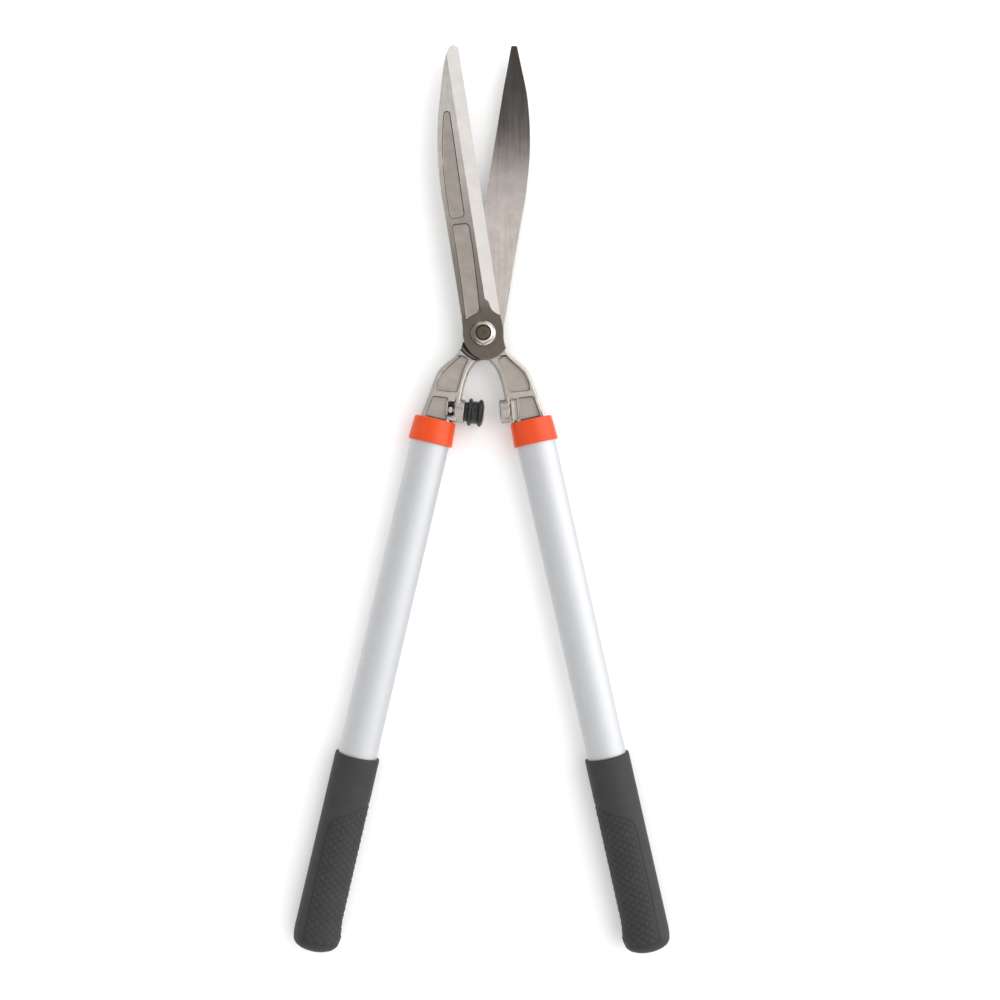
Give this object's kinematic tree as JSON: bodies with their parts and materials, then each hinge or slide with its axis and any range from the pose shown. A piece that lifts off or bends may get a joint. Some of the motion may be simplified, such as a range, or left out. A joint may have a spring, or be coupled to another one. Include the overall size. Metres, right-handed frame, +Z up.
{
  "type": "hedge shears",
  "caption": "Hand hedge shears with long forged blades that cross on a pivot bolt, oval tube handles with rubber grips, and a rubber buffer that stops the closing stroke.",
  "frame": {"origin": "on the pivot axis, at the outer flat face of the pivot bolt's head, which the shears lie on", "axes": "+Y towards the blade tips along the middle of the tool, +Z up out of the lying plane along the pivot axis, +X towards the handle of the upper half"},
  "size_m": [0.2702, 0.6528, 0.025],
  "materials": {
    "forged_steel": "blasted forging with ground cutting faces",
    "plated_steel": "zinc plated",
    "chromed_steel": "polished",
    "black_oxide_steel": "black oxide",
    "anodised_aluminium": "satin clear anodised",
    "orange_plastic": "satin moulded",
    "soft_rubber": "matte moulded, textured on the inner side",
    "black_rubber": "satin moulded",
    "nylon": "natural",
    "dark_nylon": "matte"
  },
  "bodies": {
    "lower_half": {"lower_blade": "forged_steel", "left_tube": "anodised_aluminium", "left_tang_insert": "nylon", "left_tang_pin_upper": "plated_steel", "left_tang_pin_lower": "plated_steel", "left_collar": "orange_plastic", "left_tube_plug": "nylon", "left_grip": "soft_rubber", "buffer": "black_rubber", "buffer_stud": "plated_steel", "buffer_nut": "plated_steel", "pivot_bolt": "black_oxide_steel", "pivot_nut": "chromed_steel", "pivot_lock_ring": "dark_nylon"},
    "upper_half": {"upper_blade": "forged_steel", "right_tube": "anodised_aluminium", "right_tang_insert": "nylon", "right_tang_pin_upper": "plated_steel", "right_tang_pin_lower": "plated_steel", "right_collar": "orange_plastic", "right_tube_plug": "nylon", "right_grip": "soft_rubber"}
  },
  "joints": [
    {"name": "blade_pivot", "type": "hinge", "parent": "lower_half", "child": "upper_half", "pos_m": [0, 0, 0.0125], "axis": [0, 0, 1], "range_deg": [-11.5, 68]}
  ]
}
